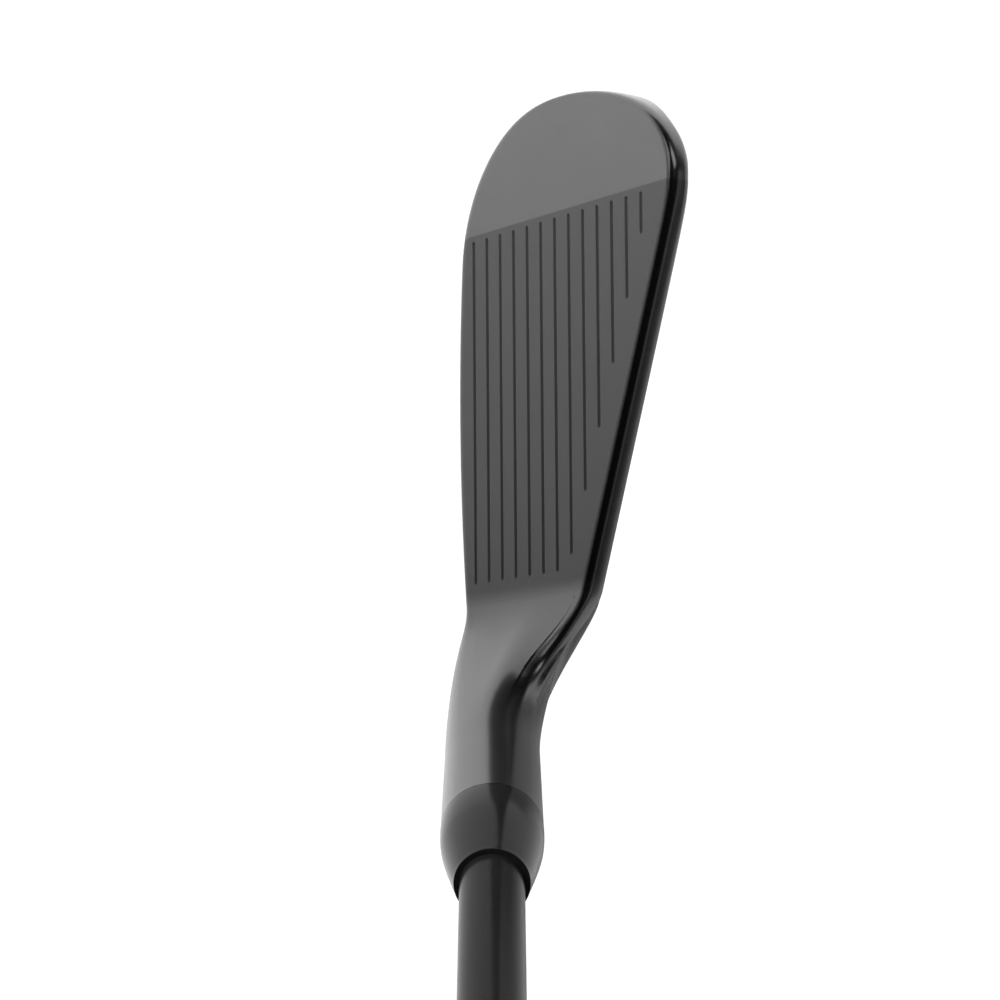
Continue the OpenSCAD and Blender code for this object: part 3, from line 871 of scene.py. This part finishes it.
class CLUB_OT_inner(bpy.types.Operator):
    """Gives finishes to the pieces inside the club"""

    bl_idname = "club.inner"
    bl_label = "Inner pieces"

    def execute(self, context):
        looks = {
            "toe_weight": plain_finish("tungsten", (0.36, 0.36, 0.35), 1.0, 0.45, 900, 0.00002),
            "damping_core": plain_finish("filler", (0.7, 0.66, 0.58), 0.0, 0.6, 300, 0.00005),
            "badge_pad": plain_finish("foam pad", (0.03, 0.03, 0.03), 0.0, 0.85, 1500, 0.0001),
            "cavity_badge": plain_finish("badge aluminium", (0.2, 0.2, 0.21), 1.0, 0.35, 700, 0.00001),
            "hosel_epoxy": plain_finish("hosel glue", (0.6, 0.56, 0.42), 0.0, 0.4, 400, 0.00003),
            "swing_weight_plug": plain_finish("plug brass", (0.7, 0.55, 0.28), 1.0, 0.3, 800, 0.00001),
            "grip_tape": plain_finish("grip tape", (0.75, 0.72, 0.65), 0.0, 0.8, 1200, 0.00004),
        }
        for node, finish in looks.items():
            wear(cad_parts[node], finish)
        return {"FINISHED"}


# ---------------------------------------------------------------------------
# Studio
# ---------------------------------------------------------------------------
def softbox(name, place, aim, size, power, mirrored):
    """Rectangular light of size (wide, high) at place, turned towards aim; mirrored ones show in gloss."""
    lamp = bpy.data.lights.new(name, "AREA")
    lamp.shape, lamp.size, lamp.size_y, lamp.energy = "RECTANGLE", size[0], size[1], power
    box = bpy.data.objects.new(name, lamp)
    bpy.context.scene.collection.objects.link(box)
    place = Vector(place)
    box.matrix_world = Matrix.LocRotScale(place, (place - Vector(aim)).to_track_quat("Z", "Y"), None)
    box.visible_camera = False
    box.visible_glossy = mirrored


def lay_floor(look):
    """Square floor just under the sole. The camera sees it as clean white, and light finds it a pale grey."""
    points = np.array([(-1, -1, 0), (1, -1, 0), (1, 1, 0), (-1, 1, 0)]) * FLOOR_HALF
    points[:, 2] = -FLOOR_DROP
    floor = new_piece("studio_floor", points, np.array([[0, 1, 2, 3]]))
    paint = Finish("floor paint", Roughness=0.9, Specular_IOR_Level=0.0)
    paint.shader.inputs["Base Color"].default_value = (look.floor_shade,) * 3 + (1,)
    clean = paint.node("ShaderNodeEmission", {}, {"Strength": look.floor_glow})
    seen = paint.node("ShaderNodeLightPath")
    lit = Wire(paint, paint.shader.outputs[0])
    both = paint.node("ShaderNodeMixShader", {}, [seen, lit, clean])
    paint.tree.links.new(both.socket, paint.out.inputs[0])
    wear(floor, paint)


def light_room(look):
    """Dim room, brighter low in front and round the horizon; the camera sees clean white."""
    world = bpy.data.worlds.new("studio sky")
    bpy.context.scene.world = world
    world.use_nodes = True
    sky = Sheet(world.node_tree)
    _, y, z = sky.axes(sky.node("ShaderNodeTexCoord"))
    front = (0.0 - y).between(0.1, 0.9) * z.between(0.6, 0.2)
    room = look.sky + front * look.front_glow + z.between(0.3, 0.0) * look.low_glow
    seen = sky.node("ShaderNodeLightPath")
    strength = seen * look.floor_glow + (1 - seen) * room
    back = sky.node("ShaderNodeBackground", {}, {"Color": (1, 1, 1, 1), "Strength": strength})
    sky.node("ShaderNodeOutputWorld", {}, [back])


def set_camera(scene):
    """Camera over the golfer's side of the head, looking down on it."""
    lens = bpy.data.cameras.new("studio camera")
    lens.sensor_width = 36.0
    lens.lens = CAMERA_LENS
    lens.clip_start, lens.clip_end = 0.01, 50
    camera = bpy.data.objects.new("studio camera", lens)
    scene.collection.objects.link(camera)
    turn = Euler(math.radians(angle) for angle in (CAMERA_TILT, CAMERA_ROLL, CAMERA_TURN))
    camera.matrix_world = Matrix.LocRotScale(Vector(CAMERA_PLACE) * MM, turn, None)
    scene.camera = camera


class CLUB_OT_studio(bpy.types.Operator):
    """Lays the floor and sets the light and the camera"""

    bl_idname = "club.studio"
    bl_label = "Studio"

    def execute(self, context):
        look = context.scene.studio_look
        sole, blade = (0, 0, 0.02), (0, 0, 0.03)
        side_power = look.card_power * 0.8
        lay_floor(look)
        light_room(look)
        softbox("front softbox", (-0.5, -0.5, 0.75), sole, (0.35, 0.35), look.front_power, False)
        softbox("back softbox", (0.6, 0.45, 0.9), sole, (0.25, 0.25), look.back_power, False)
        softbox("front card", (-0.48, -0.6, 0.72), blade, (0.8, 0.6), look.card_power, True)
        softbox("back card", (-0.55, 0.6, 0.66), blade, (0.6, 0.4), side_power, True)
        softbox("back strip", (0.42, 0.68, 0.26), blade, (1.5, 0.09), look.strip_power, True)
        set_camera(context.scene)
        context.scene.view_settings.view_transform = "Standard"
        return {"FINISHED"}


class CLUB_PT_panel(bpy.types.Panel):
    """Lists the club's pieces and looks"""

    bl_idname = "CLUB_PT_panel"
    bl_label = "Iron Club"
    bl_space_type = "VIEW_3D"
    bl_region_type = "UI"
    bl_category = "Iron Club"

    def draw(self, context):
        for group in (context.scene.club_look, context.scene.studio_look):
            box = self.layout.box()
            for name in group.bl_rna.properties.keys():
                if name not in ("rna_type", "name"):
                    box.prop(group, name)
        for step in STEPS_TO_BUILD:
            self.layout.operator(step.bl_idname)


STEPS_TO_BUILD = (
    CLUB_OT_head,
    CLUB_OT_plate,
    CLUB_OT_ferrule,
    CLUB_OT_shaft,
    CLUB_OT_grip,
    CLUB_OT_inner,
    CLUB_OT_studio,
)
CLASSES = (ClubLook, StudioLook, *STEPS_TO_BUILD, CLUB_PT_panel)


def register():
    for cls in CLASSES:
        bpy.utils.register_class(cls)
    bpy.types.Scene.club_look = PointerProperty(type=ClubLook)
    bpy.types.Scene.studio_look = PointerProperty(type=StudioLook)


def unregister():
    del bpy.types.Scene.studio_look
    del bpy.types.Scene.club_look
    for cls in reversed(CLASSES):
        bpy.utils.unregister_class(cls)


def main():
    register()
    for step in STEPS_TO_BUILD:
        group, name = step.bl_idname.split(".")
        getattr(getattr(bpy.ops, group), name)()


if __name__ == "__main__":
    main()
